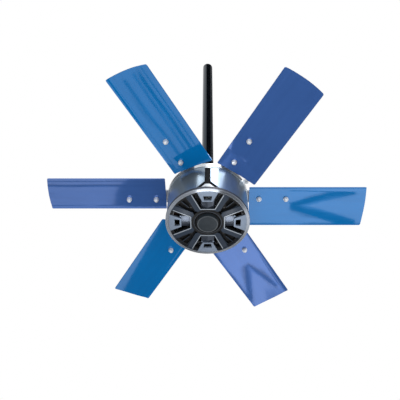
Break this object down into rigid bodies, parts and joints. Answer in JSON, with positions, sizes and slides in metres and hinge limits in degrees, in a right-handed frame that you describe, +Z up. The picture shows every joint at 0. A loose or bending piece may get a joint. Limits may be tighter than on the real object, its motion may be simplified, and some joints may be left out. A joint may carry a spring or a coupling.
{
  "type": "industrial ceiling fan",
  "caption": "Industrial ceiling fan with a black downrod, a polished drum-shaped motor with a dark round grille and straight blue blades bolted to steel arms.",
  "frame": {"origin": "centre of the hanger-bolt hole near the top of the downrod, where the fan hangs", "axes": "+Z up along the downrod and the fan's axis of turning, +X along the hanger-bolt hole and the first blade"},
  "size_m": [1.22, 1.149, 1.295],
  "materials": {
    "rod_black": "gloss black paint on steel tube",
    "coupling_black": "satin black paint on turned steel",
    "zinc_steel": "zinc plated",
    "bright_steel": "polished dome nuts",
    "black_screw": "black oxide",
    "turned_steel": "fine turned",
    "bearing_steel": "ground bearing steel",
    "seal_rubber": "matt",
    "cast_aluminium": "as-cast with machined faces",
    "lamination_steel": "stacked laminations",
    "insulator_plastic": "moulded",
    "copper_winding": "enamelled copper",
    "magnet_ferrite": "sintered",
    "core_black": "black paint",
    "ring_aluminium": "polished",
    "shell_aluminium": "satin polished",
    "bezel_aluminium": "polished",
    "grille_plastic": "dark grey moulded",
    "insert_aluminium": "satin",
    "trim_grey": "light grey satin",
    "cap_plastic": "dark grey moulded",
    "arm_steel": "galvanised",
    "blade_blue": "gloss blue paint on sheet",
    "blade_violet_blue": "gloss violet-blue paint on sheet"
  },
  "bodies": {
    "hanger": {"downrod": "rod_black", "rod_coupling": "coupling_black", "coupling_bolt": "zinc_steel", "coupling_nut": "zinc_steel", "coupling_set_screws": "black_screw", "spindle": "turned_steel", "spindle_nut": "zinc_steel", "upper_bearing_inner_ring": "bearing_steel", "lower_bearing_inner_ring": "bearing_steel", "stator_hub": "cast_aluminium", "stator_core": "lamination_steel", "stator_insulators": "insulator_plastic", "stator_coils": "copper_winding", "terminal_block": "insulator_plastic"},
    "rotor": {"upper_bearing_outer_ring": "bearing_steel", "lower_bearing_outer_ring": "bearing_steel", "bearing_circlips": "black_screw", "shaft_seal": "seal_rubber", "rotor_magnets": "magnet_ferrite", "top_cover": "cast_aluminium", "cover_screws": "zinc_steel", "drum_core": "core_black", "end_plate": "cast_aluminium", "end_plate_screws": "black_screw", "top_ring": "ring_aluminium", "lug_bolts": "zinc_steel", "bezel": "bezel_aluminium", "bezel_screws": "black_screw", "grille": "grille_plastic", "grille_screws": "black_screw", "window_trims": "trim_grey", "centre_cap": "cap_plastic", "arm_bolts": "zinc_steel", "blade_bolts": "zinc_steel", "blade_washers": "zinc_steel", "blade_nuts": "bright_steel", "drum_shell_1": "shell_aluminium", "drum_shell_2": "shell_aluminium", "drum_shell_3": "shell_aluminium", "drum_shell_4": "shell_aluminium", "grille_insert_1": "insert_aluminium", "grille_insert_2": "insert_aluminium", "grille_insert_3": "insert_aluminium", "grille_insert_4": "insert_aluminium", "blade_arm_1": "arm_steel", "blade_arm_2": "arm_steel", "blade_arm_3": "arm_steel", "blade_arm_4": "arm_steel", "blade_arm_5": "arm_steel", "blade_arm_6": "arm_steel", "blade_1": "blade_blue", "blade_2": "blade_violet_blue", "blade_3": "blade_blue", "blade_4": "blade_violet_blue", "blade_5": "blade_blue", "blade_6": "blade_violet_blue"},
    "upper_ball_cage": {"upper_bearing_ball_set": "bearing_steel"},
    "lower_ball_cage": {"lower_bearing_ball_set": "bearing_steel"}
  },
  "joints": [
    {"name": "rotor_spin", "type": "hinge", "parent": "hanger", "child": "rotor", "pos_m": [0, 0, -1.108], "axis": [0, 0, 1], "continuous": true},
    {"name": "upper_cage_spin", "type": "hinge", "parent": "hanger", "child": "upper_ball_cage", "pos_m": [0, 0, -1.0915], "axis": [0, 0, 1], "continuous": true},
    {"name": "lower_cage_spin", "type": "hinge", "parent": "hanger", "child": "lower_ball_cage", "pos_m": [0, 0, -1.218], "axis": [0, 0, 1], "continuous": true}
  ],
  "couplings": [
    {"joint": "upper_cage_spin", "follows": "rotor_spin", "ratio": 0.60374},
    {"joint": "lower_cage_spin", "follows": "rotor_spin", "ratio": 0.60326}
  ]
}
